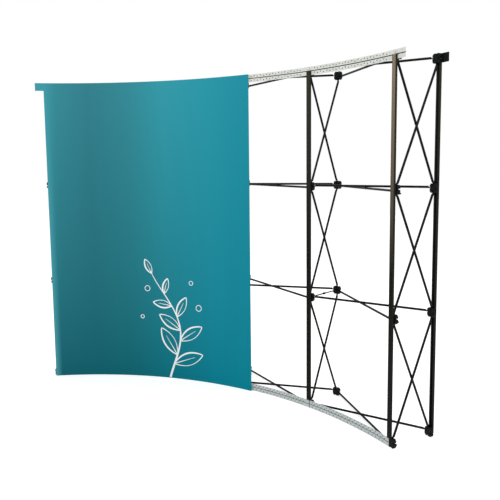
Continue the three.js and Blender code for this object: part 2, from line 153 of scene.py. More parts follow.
def column_angle(column):
    """Angle of a column's radial plane from the middle one."""
    return column * BAY_ANGLE - HALF_ARC


def is_end(column):
    """Whether a column is the first or the last."""
    return column in (0, BAYS)


# ---- materials ----

def linear(hex_colour):
    """sRGB hex to linear RGBA: the piecewise sRGB curve."""
    srgb = [int(hex_colour[i:i + 2], 16) / 255 for i in (1, 3, 5)]
    return [c / 12.92 if c <= 0.04045 else ((c + 0.055) / 1.055) ** 2.4 for c in srgb] + [1.0]


def add_node(tree, kind, inputs=None, **settings):
    """Adds one node, sets its properties, and fills or links its sockets."""
    node = tree.nodes.new(kind)
    for key, value in settings.items():
        setattr(node, key, value)
    for socket, value in (inputs or {}).items():
        if isinstance(value, bpy.types.NodeSocket):
            tree.links.new(value, node.inputs[socket])
        else:
            node.inputs[socket].default_value = value
    return node


def new_material(name):
    """An empty material with its output; returns the material and its node tree."""
    material = bpy.data.materials.new(name)
    material.use_nodes = True
    material.node_tree.nodes.clear()
    return material, material.node_tree


def finish_material(tree, inputs):
    """Ends a material with one Principled shader that has the given inputs."""
    shader = add_node(tree, "ShaderNodeBsdfPrincipled", inputs)
    add_node(tree, "ShaderNodeOutputMaterial", {"Surface": shader.outputs["BSDF"]})


def noise(tree, vector, size_mm, detail=2.0, roughness=0.5):
    """Noise whose features are about size_mm across; coordinates are metres."""
    return add_node(tree, "ShaderNodeTexNoise", {
        "Vector": vector, "Scale": MM / size_mm, "Detail": detail, "Roughness": roughness,
    }).outputs["Fac"]


def ramp(tree, factor, stops):
    """A colour ramp through (place, hex) stops."""
    node = add_node(tree, "ShaderNodeValToRGB", {"Fac": factor})
    elements = node.color_ramp.elements
    while len(elements) < len(stops):
        elements.new(0.5)
    for element, (place, colour) in zip(elements, stops):
        element.position = place
        element.color = linear(colour)
    return node.outputs["Color"]


def spread(tree, factor, low, high):
    """Maps 0..1 to low..high."""
    return add_node(tree, "ShaderNodeMapRange", {
        "Value": factor, "To Min": low, "To Max": high,
    }).outputs["Result"]


def bump(tree, height, strength, distance_mm):
    """A normal tilted by the height's slope, whose full rise is distance_mm."""
    return add_node(tree, "ShaderNodeBump", {
        "Height": height, "Strength": strength, "Distance": distance_mm / MM,
    }).outputs["Normal"]


def object_coordinates(tree):
    """The mesh's own metres, which are the frame's too."""
    return add_node(tree, "ShaderNodeTexCoord").outputs["Object"]


def share_of_height(tree, place):
    """0 at the floor and 1 at the wall's top."""
    height = add_node(tree, "ShaderNodeSeparateXYZ", {"Vector": place}).outputs["Z"]
    return add_node(tree, "ShaderNodeMapRange", {
        "Value": height, "From Min": 0.0, "From Max": WALL_HEIGHT / MM}).outputs["Result"]


def moulded_nylon(light, dark):
    """Glass filled nylon from a spark-eroded mould: near black, even fine grain, dull edges."""
    material, tree = new_material("Moulded nylon")
    place = object_coordinates(tree)
    grain = noise(tree, place, 1.2, detail=3.0)
    cloud = noise(tree, place, 24.0)
    finish_material(tree, {
        "Base Color": ramp(tree, cloud, [(0.3, dark), (0.75, light)]),
        "Roughness": spread(tree, grain, 0.42, 0.62),
        "Specular IOR Level": 0.1,
        "Normal": bump(tree, grain, 0.35, 0.12),
    })
    return material


def coated_tube(light, dark):
    """Aluminium tube under black powder coat: satin, with a faint orange peel."""
    material, tree = new_material("Powder coated tube")
    place = object_coordinates(tree)
    peel = noise(tree, place, 2.5, detail=2.0)
    rub = noise(tree, place, 60.0, detail=3.0)
    finish_material(tree, {
        "Base Color": ramp(tree, rub, [(0.35, dark), (0.7, light)]),
        "Roughness": spread(tree, peel, 0.34, 0.5),
        "Specular IOR Level": 0.1,
        "Normal": bump(tree, peel, 0.2, 0.08),
    })
    return material


def bar_coat(top, foot):
    """Roll formed channel under dark satin coat, browner and lighter towards the top: a painted
    sheen at the top that fades to painted shade at the foot.
    """
    material, tree = new_material("Coated channel")
    place = object_coordinates(tree)
    rise = share_of_height(tree, place)
    drawn = add_node(tree, "ShaderNodeMapping", {"Vector": place, "Scale": (1, 1, 0.01)})
    lines = noise(tree, drawn.outputs["Vector"], 1.6, detail=3.0)
    finish_material(tree, {
        # The height ramp is painted light: a painted sheen near the top, painted shade towards the
        # foot.
        "Base Color": ramp(tree, rise, [(0.0, foot), (0.95, top)]),
        "Roughness": spread(tree, lines, 0.38, 0.5),
        "Specular IOR Level": 0.08,
        "Normal": bump(tree, lines, 0.2, 0.06),
    })
    return material


def magnet_tape(name, top, foot):
    """Extruded ferrite-filled rubber tape: matt brown black, with fine lines along its length. Its
    colour runs from painted shade in the lower half to a painted sheen at the top.
    """
    material, tree = new_material(name)
    place = object_coordinates(tree)
    rise = share_of_height(tree, place)
    drawn = add_node(tree, "ShaderNodeMapping", {"Vector": place, "Scale": (1, 1, 0.02)})
    lines = noise(tree, drawn.outputs["Vector"], 1.2, detail=4.0)
    finish_material(tree, {
        # Painted light: darker in the lower half as painted shade, lighter at the top as a painted
        # sheen.
        "Base Color": ramp(tree, rise, [(0.0, foot), (0.45, foot), (0.95, top)]),
        "Roughness": spread(tree, lines, 0.55, 0.75),
        "Specular IOR Level": 0.07,
        "Normal": bump(tree, lines, 0.3, 0.08),
    })
    return material


def strip_sheet(name, light, dark):
    """Extruded pale PVC: slightly glossy, with a faint mottle from handling."""
    material, tree = new_material(name)
    place = object_coordinates(tree)
    mottle = noise(tree, place, 18.0, detail=4.0, roughness=0.65)
    peel = noise(tree, place, 3.0)
    finish_material(tree, {
        "Base Color": ramp(tree, mottle, [(0.3, dark), (0.7, light)]),
        "Roughness": spread(tree, peel, 0.32, 0.48),
        "Normal": bump(tree, peel, 0.15, 0.1),
    })
    return material


def plain_rubber(name, light, dark, size_mm):
    """Soft rubber cord, or the shaded inside of a small hole: matt, with a fine grain."""
    material, tree = new_material(name)
    grain = noise(tree, object_coordinates(tree), size_mm)
    finish_material(tree, {
        "Base Color": ramp(tree, grain, [(0.35, dark), (0.65, light)]),
        "Roughness": spread(tree, grain, 0.6, 0.8),
        "Specular IOR Level": 0.14,
        "Normal": bump(tree, grain, 0.3, 0.1),
    })
    return material


def blackened_steel():
    """Steel rivets and pins with a black oxide skin: darker and shinier than the nylon."""
    material, tree = new_material("Blackened steel")
    grain = noise(tree, object_coordinates(tree), 0.8)
    finish_material(tree, {
        "Base Color": ramp(tree, grain, [(0.35, "#202224"), (0.65, "#2B2D2F")]),
        "Metallic": 0.9,
        "Roughness": spread(tree, grain, 0.3, 0.45),
        "Normal": bump(tree, grain, 0.2, 0.05),
    })
    return material


# Colours across the film's width, at the top and at the foot. They are the print's teal with
# painted light in it: a painted sheen in the bright band at the left edge and painted shade in the
# darker bands.
FILM_TOP = [(0.0, "#3F9CA8"), (0.05, "#388C98"), (0.2, "#33808C"), (0.38, "#358A96"),
            (0.56, "#359AA8"), (0.75, "#2C98A9"), (1.0, "#2090A3")]
FILM_FOOT = [(0.0, "#4FA3AE"), (0.03, "#11636F"), (0.2, "#0E6571"), (0.38, "#0A6974"),
             (0.62, "#067787"), (0.8, "#038396"), (1.0, "#028699")]
FALL_POWER = 0.85  # below 1 keeps the wash bright further down


def laminated_print():
    """Inkjet print under a satin film: a teal wash that deepens to the foot, with a fine peel. The
    teal is the print's own. The wash also holds painted light: a painted sheen towards the top and
    along the left edge, and bands of painted shade across the width.
    """
    material, tree = new_material("Laminated print")
    across = add_node(tree, "ShaderNodeUVMap", uv_map="print").outputs["UV"]
    split = add_node(tree, "ShaderNodeSeparateXYZ", {"Vector": across})
    fall = add_node(
        tree, "ShaderNodeMath", {0: split.outputs["Y"], 1: FALL_POWER}, operation="POWER")
    wash = add_node(tree, "ShaderNodeMix", {
        0: fall.outputs[0],
        6: ramp(tree, split.outputs["X"], FILM_FOOT),
        7: ramp(tree, split.outputs["X"], FILM_TOP),
    }, data_type="RGBA")
    peel = noise(tree, object_coordinates(tree), 2.0, detail=1.0)
    finish_material(tree, {
        "Base Color": wash.outputs[2],
        "Roughness": spread(tree, peel, 0.4, 0.5),
        "Specular IOR Level": 0.055,
        "Normal": bump(tree, peel, 0.05, 0.05),
    })
    return material


def grey_back():
    """Blockout back of the film: a matt grey coat with a faint cloud."""
    material, tree = new_material("Grey blockout back")
    place = object_coordinates(tree)
    cloud = noise(tree, place, 120.0, detail=3.0)
    grain = noise(tree, place, 1.5)
    finish_material(tree, {
        "Base Color": ramp(tree, cloud, [(0.3, "#AEB1B1"), (0.7, "#B5B7B7")]),
        "Roughness": spread(tree, grain, 0.6, 0.72),
        "Specular IOR Level": 0.14,
        "Normal": bump(tree, grain, 0.15, 0.06),
    })
    return material


def white_ink():
    """Opaque white of the print, under the same satin film."""
    material, tree = new_material("White of the print")
    peel = noise(tree, object_coordinates(tree), 2.0, detail=1.0)
    finish_material(tree, {
        "Base Color": ramp(tree, peel, [(0.35, "#F8FBFB"), (0.65, "#FDFEFE")]),
        "Roughness": spread(tree, peel, 0.4, 0.5),
        "Specular IOR Level": 0.055,
        "Normal": bump(tree, peel, 0.05, 0.05),
    })
    return material


# ---- shapes: arrays of rings, each a closed loop of points ----

def ring_faces(rows, count, closed_path):
    """Quads between neighbouring loops of equal length, and one flat face over each end; a
    closed path has quads from its last loop to its first instead of the two end faces."""
    index = np.arange(rows * count).reshape(rows, count)
    onward = np.roll(index, -1, axis=1)
    quads = np.stack([index, onward, np.roll(onward, -1, axis=0), np.roll(index, -1, axis=0)], -1)
    if closed_path:
        return quads.reshape(-1, 4), np.empty((0, count), int)
    return quads[:-1].reshape(-1, 4), np.stack([index[0, ::-1], index[-1]])


def skin(rings, closed_path=False):
    """Points and faces of a skin over rings of shape (rows, count, 3), turned to face out.

    Six times the signed volume is the sum of a . (b x c) over the triangles of all faces, each
    fanned from its first corner. Where it is negative the loops run the wrong way round, and
    the faces are reversed.
    """
    rings = np.asarray(rings, float)
    rows, count, _ = rings.shape
    points = rings.reshape(-1, 3)
    quads, caps = ring_faces(rows, count, closed_path)
    centred = points - points.mean(0)
    volume = 0.0
    for faces in (quads, caps):
        corners = centred[faces]
        fans = np.cross(corners[:, 1:-1], corners[:, 2:])
        volume += np.sum(corners[:, :1] * fans)
    if volume < 0:
        quads, caps = quads[:, ::-1], caps[:, ::-1]
    return points, (quads, caps)


def circle(count, start=0.0):
    """Unit circle: (cos a, sin a) for count equal steps of a."""
    angle = start + np.arange(count) * 2 * np.pi / count
    return np.stack([np.cos(angle), np.sin(angle)], -1)


def turned(profile, axis, at, count=16):
    """A revolved piece: each (place, radius) of the profile is a circle square to the axis."""
    profile = np.asarray(profile, float)
    unit = circle(count)
    rings = np.empty((len(profile), count, 3))
    first, second = [(1, 2), (2, 0), (0, 1)]["xyz".index(axis)]
    rings[..., "xyz".index(axis)] = profile[:, :1]
    rings[..., first] = profile[:, 1:] * unit[:, 0]
    rings[..., second] = profile[:, 1:] * unit[:, 1]
    return skin(rings + np.asarray(at, float))


def peg_profile(low, high, radius, edge=0.5):
    """A straight round bar with its two rims eased by edge."""
    return [(low, radius - edge), (low + edge, radius),
            (high - edge, radius), (high, radius - edge)]


def corner_arc(x, y, radius, start, count=4):
    """Quarter circle about (x, y) from the start angle, in degrees."""
    angle = np.radians(start) + np.linspace(0, np.pi / 2, count)
    return np.stack([x + radius * np.cos(angle), y + radius * np.sin(angle)], -1)


def rounded_outline(x0, x1, half, inner, outer):
    """A rectangle from x0 to x1, half high each way, its corners rounded by arcs."""
    return np.concatenate([
        corner_arc(x1 - outer, half - outer, outer, 0),
        corner_arc(x0 + inner, half - inner, inner, 90),
        corner_arc(x0 + inner, -half + inner, inner, 180),
        corner_arc(x1 - outer, -half + outer, outer, 270),
    ])


def plate(x0, x1, half, inner, outer, low, high, edge, axes):
    """A rounded plate between low and high whose rims are eased: the outline is drawn in by
    edge at the first and last loop. axes gives the directions of its x, y and thickness."""
    loops = []
    for depth, inset in ((low, edge), (low + edge, 0.0), (high - edge, 0.0), (high, edge)):
        outline = rounded_outline(
            x0 + inset, x1 - inset, half - inset, max(inner - inset, 0.2), max(outer - inset, 0.2))
        loops.append(np.column_stack([outline, np.full(len(outline), depth)]))
    return skin(np.array(loops) @ np.array(axes, float))


def moved(shape, offset):
    """A shape carried by an offset."""
    return shape[0] + np.asarray(offset, float), shape[1]


def along_column(shape, column_or_angle):
    """Turns a shape from its own column's plane to its place on the arc."""
    points, faces = shape
    angle = column_angle(column_or_angle)
    cos, sin = math.cos(angle), math.sin(angle)
    x = points[:, 0] * cos + points[:, 1] * sin
    y = points[:, 1] * cos - points[:, 0] * sin
    return np.column_stack([x, y, points[:, 2]]), faces


# ---- pieces ----

def make_piece(name, parts, body, replaces=()):
    """One mesh from (shape, material) parts, put in metres in the frame, riding on a body."""
    materials = []
    for _, material in parts:
        if material not in materials:
            materials.append(material)
    points, faces, slots, start = [], [], [], 0
    for (part_points, face_groups), material in parts:
        points.append(part_points)
        for group in face_groups:
            faces += (group + start).tolist()
            slots += [materials.index(material)] * len(group)
        start += len(part_points)
    place = (np.concatenate(points) + (0, ARC_CENTRE_Y, 0)) / MM
    mesh = bpy.data.meshes.new(name)
    mesh.from_pydata(place.tolist(), [], faces)
    for material in materials:
        mesh.materials.append(material)
    mesh.polygons.foreach_set("material_index", slots)
    mesh.polygons.foreach_set("use_smooth", [True] * len(faces))
    mesh.set_sharp_from_angle(angle=SHARP_ANGLE)
    mesh.update()
    piece = bpy.data.objects.new(name, mesh)
    bpy.context.scene.collection.objects.link(piece)
    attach(piece, body)
    if replaces:
        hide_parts(*replaces)
    return piece


def strut_rings(length, sign, crossing, count=20):
    """Loops of a tube crushed flat at both ends and dimpled where it is riveted.

    Along x the share of flatness eases from 1 at the tip to 0 by a smooth step; a flat loop keeps
    its width, is squeezed to the tongue's thickness and shifts from the tube's offset to the
    tongue's. Past the pin the loops narrow, which rounds the tip. About the crossing the height
    loses a cosine squared dimple, so that two tubes lie against each other.
    """
    radius = STRUT_DIAMETER / 2
    rounding = np.array([-1.0, -0.9, -0.6, 0.0])
    taper = np.linspace(0, 1, 7)
    spread_out = np.linspace(-1, 1, 9)
    end = np.concatenate([rounding * radius, TONGUE_LENGTH + taper * TONGUE_TAPER])
    narrow = np.concatenate([np.sqrt(1 - rounding**2) * 0.85 + 0.15, np.ones(7)])
    crushed = np.concatenate([np.ones(4), 1 - taper**2 * (3 - 2 * taper)])
    middle = np.zeros(9)
    x = np.concatenate([end, crossing + spread_out * DIMPLE_REACH, length - end[::-1]])
    width = np.concatenate([narrow, middle + 1, narrow[::-1]])
    flat = np.concatenate([crushed, middle, crushed[::-1]])
    press = np.concatenate([0 * end, np.cos(spread_out * np.pi / 2) ** 2, 0 * end])
    unit = circle(count, np.pi / count)
    squash = 1 + flat * (TONGUE_THICKNESS / STRUT_DIAMETER - 1)
    squash -= press * (1 - (STRUT_OFFSET - FIT / 2) / radius)
    wide = np.sign(unit[:, 0]) * np.abs(unit[:, 0]) ** (1 - 0.6 * flat)[:, None]
    tall = np.sign(unit[:, 1]) * np.abs(unit[:, 1]) ** (1 - 0.35 * flat)[:, None]
    offset = sign * (STRUT_OFFSET + flat * (TONGUE_OFFSET - STRUT_OFFSET))
    rings = np.empty((len(x), count, 3))
    rings[..., 0] = x[:, None]
    rings[..., 1] = radius * wide * width[:, None]
    rings[..., 2] = offset[:, None] + radius * tall * squash[:, None]
    return rings


def strut(start, end, side, sign, crossing=0.5):
    """A strut from pin to pin. side is the direction in which the crossing's two tubes part, and
    crossing is the rivet's share of the way."""
    start, end, side = (np.asarray(v, float) for v in (start, end, side))
    run = end - start
    length = np.linalg.norm(run)
    along = run / length
    across = np.cross(side, along)
    rings = strut_rings(length, sign, crossing * length)
    return skin(rings @ np.array([along, across, side]) + start)


def rivet(at, axis):
    """Domed head, shank and head through both tubes of a crossing."""
    reach = 2 * STRUT_OFFSET - FIT
    profile = [(reach + up, r) for up, r in RIVET_HEAD]
    return turned(profile + [(-place, r) for place, r in profile[::-1]], axis, at, 16)


def fork(direction, tongue, depth):
    """Two ears either side of a tongue, and the pin with its heads. direction is the arm's, and
    tongue is where the slot's middle lies beside the arm's middle."""
    direction = np.asarray(direction, float)
    radius_way = np.array([0.0, 1.0, 0.0])
    side = np.abs(np.cross(direction, radius_way))
    axes = [direction, side, radius_way]
    ears = []
    for low, high in ((-HUB_HALF_WIDTH, tongue - SLOT_HALF), (tongue + SLOT_HALF, HUB_HALF_WIDTH)):
        ear = plate(EAR_ROOT, HUB_REACH, (high - low) / 2, 1.0, EAR_CORNER,
                    -depth, depth, HUB_EDGE, axes)
        ears.append(moved(ear, side * (low + high) / 2))
    axis = "x" if side[0] else "z"
    reach = HUB_HALF_WIDTH + PIN_PROUD
    pin = turned(peg_profile(-reach, reach, PIN_RADIUS), axis, direction * PIN_REACH, 12)
    return ears, pin


def hub(column, level, is_front, nylon, steel):
    """A four-armed hub: a cubic core, a fork each way, and its pins."""
    core = plate(-HUB_CORE, HUB_CORE, HUB_CORE, CORE_CORNER, CORE_CORNER,
                 -HALF_HUB, HALF_HUB, HUB_EDGE, UPRIGHT)
    parts = [(core, nylon)]
    chain = 1 if (level % 2 == 0) == is_front else -1
    face = 1 if is_front else -1
    arms = [((1, 0, 0), face), ((-1, 0, 0), -face), ((0, 0, 1), chain), ((0, 0, -1), chain)]
    for direction, sign in arms:
        depth = HALF_HUB - SIDE_EAR_INSET * abs(direction[0])
        ears, pin = fork(direction, sign * TONGUE_OFFSET, depth)
        parts += [(ear, nylon) for ear in ears] + [(pin, steel)]
    if not is_front and not is_end(column):
        low = HUB_INSIDE
        boss = [(low, 15.6), (low + 2.8, 15.6), (low + 3.5, 14.6), (low + 3.5, 6), (low + 2.2, 5.2)]
        parts.append((turned(boss, "y", (0, 0, 0), 32), nylon))
    if not is_end(column) and 0 < level < ROWS:
        parts += lock_arm(1 if is_front else -1, nylon, steel)
    if is_front:
        parts += front_pegs(column, level, nylon)
        if is_end(column) and level < ROWS:
            parts.append((hook_lug(), nylon))
    elif is_end(column) and level > 0:
        parts += hanger(1, REAR_BAR_BACK, nylon)
        if level == ROWS:
            parts.append((rear_wing(math.copysign(1, column - BAYS / 2)), nylon))
    radius = FRONT_RADIUS if is_front else REAR_RADIUS
    offset = (0, radius, level_height(level))
    return [(along_column(moved(shape, offset), column), material) for shape, material in parts]


def lock_arm(way, nylon, steel):
    """Half of a lock arm: a ribbed sleeve, a round stem, and a cup that holds a magnet."""
    tip = FRAME_DEPTH / 2 - FIT / 2
    profile = [(HUB_INSIDE, 6.2), (HALF_HUB + 9, 6.0), (HALF_HUB + 11, 4.0), (tip - 12, 4.0),
               (tip - 8, 6.6), (tip - 6.6, 7.3), (tip - 0.8, 7.3), (tip, 6.6), (tip, 5.4)]
    magnet = [(tip - 3, 5.2), (tip - 0.1, 5.2), (tip - 0.1, 4.8)]
    return [(turned([(way * place, r) for place, r in points], "y", (0, 0, 0), 20), material)
            for points, material in ((profile, nylon), (magnet, steel))]


def hanger(way, gap, nylon):
    """A T peg: a round stem through the bar's slot and a flat head behind its lips."""
    head = gap + BAR_WALL + FIT
    stem = peg_profile(HUB_INSIDE, head + 1, HANGER_RADIUS)
    stem = [(way * place, r) for place, r in stem]
    width, height, thickness = HANGER_HEAD
    cap = plate(-width / 2, width / 2, height / 2, 1.5, 1.5,
                way * head, way * (head + thickness), way * 0.6, UPRIGHT)
    return [(turned(stem, "y", (0, 0, -PEG_DROP), 16), nylon),
            (moved(cap, (0, 0, -PEG_DROP)), nylon)]


def front_pegs(column, level, nylon):
    """Hangers for the bars and flush pegs that hold the strips' ends."""
    parts = []
    if level > 0:
        parts += hanger(-1, BAR_BACK, nylon)
    places = []
    if level == ROWS:
        places = [(0, PEG_DROP)]
    elif level == 0 and is_end(column):
        places = [(math.copysign(PIN_REACH, BAYS / 2 - column), 0)]
    elif level == 0:
        places = [(0, PEG_DROP), (0, -PEG_DROP)]
    end = STRIP_BACK + STRIP_THICKNESS
    for x, z in places:
        profile = [(-place, r) for place, r in peg_profile(HUB_INSIDE, end, PEG_RADIUS)]
        parts.append((turned(profile, "y", (x, 0, z), 12), nylon))
    return parts


def hook_lug():
    """A short hook behind the lower arm of the outermost front hubs, turned up at its tip."""
    root, low, end = HUB_INSIDE, -HUB_REACH + FIT, HALF_HUB + LUG_LENGTH
    side = [(root, low), (end - 1, low), (end, low + 1), (end, low + 8), (end - 0.6, low + 8.6),
            (end - 3.4, low + 8.6), (end - 4, low + 8), (end - 5, low + 6.4), (root, low + 6.4)]
    loops = [[(x, y, z) for y, z in side] for x in (-LUG_WIDTH / 2, LUG_WIDTH / 2)]
    return skin(loops)


def rear_wing(side):
    """A rounded plate from a top rear corner hub's back, past its column."""
    axes = [(side, 0, 0), (0, 0, 1), (0, 1, 0)]
    return plate(BAR_WIDTH / 2 + REAR_WING_GAP, WING_LENGTH, STRIP_HALF_HEIGHT, 1, 3,
                 HUB_INSIDE, HALF_HUB + STRIP_THICKNESS, STRIP_EDGE, axes)


def bar_outline(way, back):
    """A channel's section: rounded outer corners, a shallow seat for the tape on the far side
    and an open slot, with thin lips, on the hub side. way is -1 towards the viewer."""
    half, far = BAR_WIDTH / 2, BAR_DEPTH
    seat = TAPE_WIDTH / 2 + TAPE_GAP
    corner = corner_arc(half - 1.5, far - 1.5, 1.5, 0, 5)
    right = np.concatenate([
        [(BAR_SLOT / 2, 0.0), (half - 0.5, 0.0), (half, 0.5)], corner,
        [(seat, far), (seat, far - TAPE_DEPTH)],
    ])
    inner = np.array([
        (half - BAR_WALL, far - BAR_WALL - TAPE_DEPTH),
        (half - BAR_WALL, BAR_WALL), (BAR_SLOT / 2, BAR_WALL),
    ])
    mirror = np.array([-1, 1])
    loop = np.concatenate([right, right[::-1] * mirror, inner[::-1] * mirror, inner])
    return np.column_stack([loop[:, 0], way * (back + loop[:, 1])])


def bar_parts(way, radius, back, low, high, coat, tape, nylon):
    """A channel between two heights, its tape, and the plug that closes its top."""
    outline = bar_outline(way, back)
    loops = [np.column_stack([outline, np.full(len(outline), z)]) for z in (low, high)]
    half = TAPE_WIDTH / 2
    far = way * (back + BAR_DEPTH)
    near = far - way * (TAPE_DEPTH - 0.05)
    ends = [(half, near), (half, far), (-half, far), (-half, near)]
    strip = [[(x, y, z) for x, y in ends] for z in (low + 1, high - 1)]
    middle = way * (back + BAR_DEPTH / 2)
    wide = BAR_WIDTH / 2 - PLUG_INSET
    cap = plate(-wide, wide, BAR_DEPTH / 2 - FIT, 1.2, 1.2,
                high - PLUG_LENGTH, high, 0.5, np.eye(3))
    parts = [(skin(loops), coat), (skin(strip), tape), (moved(cap, (0, middle, 0)), nylon)]
    return [(moved(shape, (0, radius, 0)), material) for shape, material in parts]


def arc_sweep(section, angles):
    """A section of (inset, z) points carried round the arc: x = r sin a, y = r cos a."""
    section = np.asarray(section, float)
    radius = FRONT_RADIUS - section[:, 0]
    angles = np.asarray(angles, float)[:, None]
    rings = np.empty((len(angles), len(section), 3))
    rings[..., 0] = radius * np.sin(angles)
    rings[..., 1] = radius * np.cos(angles)
    rings[..., 2] = section[:, 1]
    return rings


def strip_section(z):
    """Two flat bands with eased rims, joined by a groove along the middle of the front."""
    back, front, half = STRIP_BACK, STRIP_BACK + STRIP_THICKNESS, STRIP_HALF_HEIGHT
    floor, lip = front - GROOVE_DEPTH, GROOVE_HALF + STRIP_EDGE
    outline = [(back, -half), (front - STRIP_EDGE, -half), (front, -half + STRIP_EDGE),
               (front, -lip), (floor, -GROOVE_HALF), (floor, GROOVE_HALF), (front, lip),
               (front, half - STRIP_EDGE), (front - STRIP_EDGE, half), (back, half)]
    return [(inset, z + up) for inset, up in outline]


def perforations(from_angle, to_angle, heights, pitch, radius):
    """Short dark plugs through a strip, one row for each height, every other row shifted by
    half a pitch. One eight-sided plug is copied to all places as arrays."""
    reach = FRONT_RADIUS - STRIP_BACK - STRIP_THICKNESS / 2
    count = int((to_angle - from_angle) * reach / pitch) - 1
    unit = circle(8)
    half = STRIP_THICKNESS / 2 + HOLE_PROUD
    shapes = []
    for row, z in enumerate(heights):
        shift = pitch / 2 * (row % 2)
        places = from_angle + (pitch * 0.8 + shift + pitch * np.arange(count)) / reach
        x = radius * unit[None, :, 0]
        z_ring = z + radius * unit[None, :, 1]
        faces = []
        for depth in (-half, half):
            r = reach + depth
            around = places[:, None]
            faces.append(np.stack([
                r * np.sin(around) + x * np.cos(around),
                r * np.cos(around) - x * np.sin(around),
                np.broadcast_to(z_ring, (count, 8)),
            ], -1))
        rings = np.stack(faces, 1)
        shapes += [skin(plug) for plug in rings]
    return shapes


def strip_parts(from_angle, to_angle, z, rows, pitch, pale, seal, hole):
    """A strip, the dark seal in its groove and its rows of small holes."""
    radius = bpy.context.scene.backwall_sizes.hole_diameter * MM / 2
    angles = np.linspace(from_angle, to_angle, 25)
    parts = [(skin(arc_sweep(strip_section(z), angles)), pale)]
    front = STRIP_BACK + STRIP_THICKNESS
    low, high = front - GROOVE_DEPTH + 0.05, front - SEAL_INSET
    under, over = z - SEAL_HALF, z + SEAL_HALF
    line = [(low, under), (high, under), (high, over), (low, over)]
    parts.append((skin(arc_sweep(line, angles)), seal))
    heights = [z + up for up in rows]
    parts += [(shape, hole) for shape in perforations(from_angle, to_angle, heights, pitch, radius)]
    return parts


# ---- the film and its print ----

FILM_FRONT = FILM_BACK + FILM_THICKNESS
FILM_LEFT = -HALF_ARC - FILM_PAST_END / (FRONT_RADIUS - FILM_BACK)
FILM_RIGHT = FILM_PAST_MIDDLE * BAY_ANGLE
FILM_RADIUS = FRONT_RADIUS - FILM_FRONT


def about_centre(elements, key):
    """A mesh's places as millimetres about the arc's centre."""
    place = np.empty(len(elements) * 3)
    elements.foreach_get(key, place)
    return place.reshape(-1, 3) * MM - (0, ARC_CENTRE_Y, 0)


def film_piece(material, back):
    """The sheet as a closed slab: a grid over its front, one over its back, joined at the rims.
    u runs from the left edge to the right one and v from the foot to the top. Faces whose middle
    is further from the arc's centre than the sheet's own middle are its back."""
    heights = np.linspace(FILM_FOOT_GAP, WALL_HEIGHT, 25)
    section = [(FILM_FRONT, z) for z in heights] + [(FILM_BACK, z) for z in heights[::-1]]
    main = arc_sweep(section, np.linspace(FILM_LEFT, FILM_RIGHT, 97))
    low = WALL_HEIGHT - FILM_TAB_HEIGHT
    corners = [(FILM_FRONT, low), (FILM_FRONT, WALL_HEIGHT),
               (FILM_BACK, WALL_HEIGHT), (FILM_BACK, low)]
    tab_end = FILM_LEFT - FILM_TAB_LENGTH / FILM_RADIUS
    tab = arc_sweep(corners, np.linspace(tab_end, FILM_LEFT + 0.0002, 5))
    piece = make_piece("film_sheet", [(skin(main), material), (skin(tab), material)],
                       "printed_film", ["printed_film"])
    mesh = piece.data
    place = about_centre(mesh.vertices, "co")
    angle = np.arctan2(place[:, 0], place[:, 1])
    share = np.clip((angle - FILM_LEFT) / (FILM_RIGHT - FILM_LEFT), 0.0, 1.0)
    mesh.materials.append(back)
    middle = about_centre(mesh.polygons, "center")
    behind = np.hypot(middle[:, 0], middle[:, 1]) > FILM_RADIUS + FILM_THICKNESS * 0.6
    mesh.polygons.foreach_set("material_index", behind.astype(int))
    corner = np.empty(len(mesh.loops), int)
    mesh.loops.foreach_get("vertex_index", corner)
    uv = np.column_stack([share, place[:, 2] / WALL_HEIGHT])[corner]
    mesh.uv_layers.new(name="print").data.foreach_set("uv", uv.ravel())
    return piece


INK_FOOT, INK_TOP = 0.02, 0.12  # faces of the ink, above the film's


def on_film(across, up, proud):
    """A point of the print: across is measured along the sheet from its left edge."""
    angle = FILM_LEFT + across / FILM_RADIUS
    radius = FILM_RADIUS - proud
    return np.stack([radius * np.sin(angle), radius * np.cos(angle), up], -1)


def brush_line(centre, width, closed=False):
    """A printed line: a thin closed strip, width/2 to each side of a run of (across, up) points."""
    centre = np.asarray(centre, float)
    width = np.broadcast_to(width, len(centre))[:, None]
    if closed:
        tangent = np.roll(centre, -1, 0) - np.roll(centre, 1, 0)
    else:
        tangent = np.gradient(centre, axis=0)
    tangent /= np.linalg.norm(tangent, axis=1)[:, None]
    normal = np.column_stack([-tangent[:, 1], tangent[:, 0]]) * width / 2
    left, right = centre + normal, centre - normal
    loops = np.stack([
        on_film(left[:, 0], left[:, 1], INK_TOP), on_film(right[:, 0], right[:, 1], INK_TOP),
        on_film(right[:, 0], right[:, 1], INK_FOOT), on_film(left[:, 0], left[:, 1], INK_FOOT),
    ], 1)
    return skin(loops, closed)


def leaf(root, heading, length, breadth, line):
    """An outlined leaf: two arcs that part by breadth * sin(pi t) and meet again, and its rib."""
    t = np.linspace(0, 1, 33)
    bulge = breadth * np.sin(np.pi * t) ** 0.8 / 2
    there = np.column_stack([length * t, bulge])
    back = np.column_stack([length * t[-2:0:-1], -bulge[-2:0:-1]])
    outline = np.concatenate([there, back])
    rib = np.column_stack([length * np.linspace(0.02, 0.72, 16), np.zeros(16)])
    cos, sin = math.cos(heading), math.sin(heading)
    turn = np.array([[cos, sin], [-sin, cos]])
    pen = line * (1 + 0.45 * np.sin(2 * np.pi * np.linspace(0, 1, len(outline), endpoint=False)))
    rib_pen = line * np.linspace(0.9, 0.25, 16)
    return [brush_line(outline @ turn + root, pen, True), brush_line(rib @ turn + root, rib_pen)]


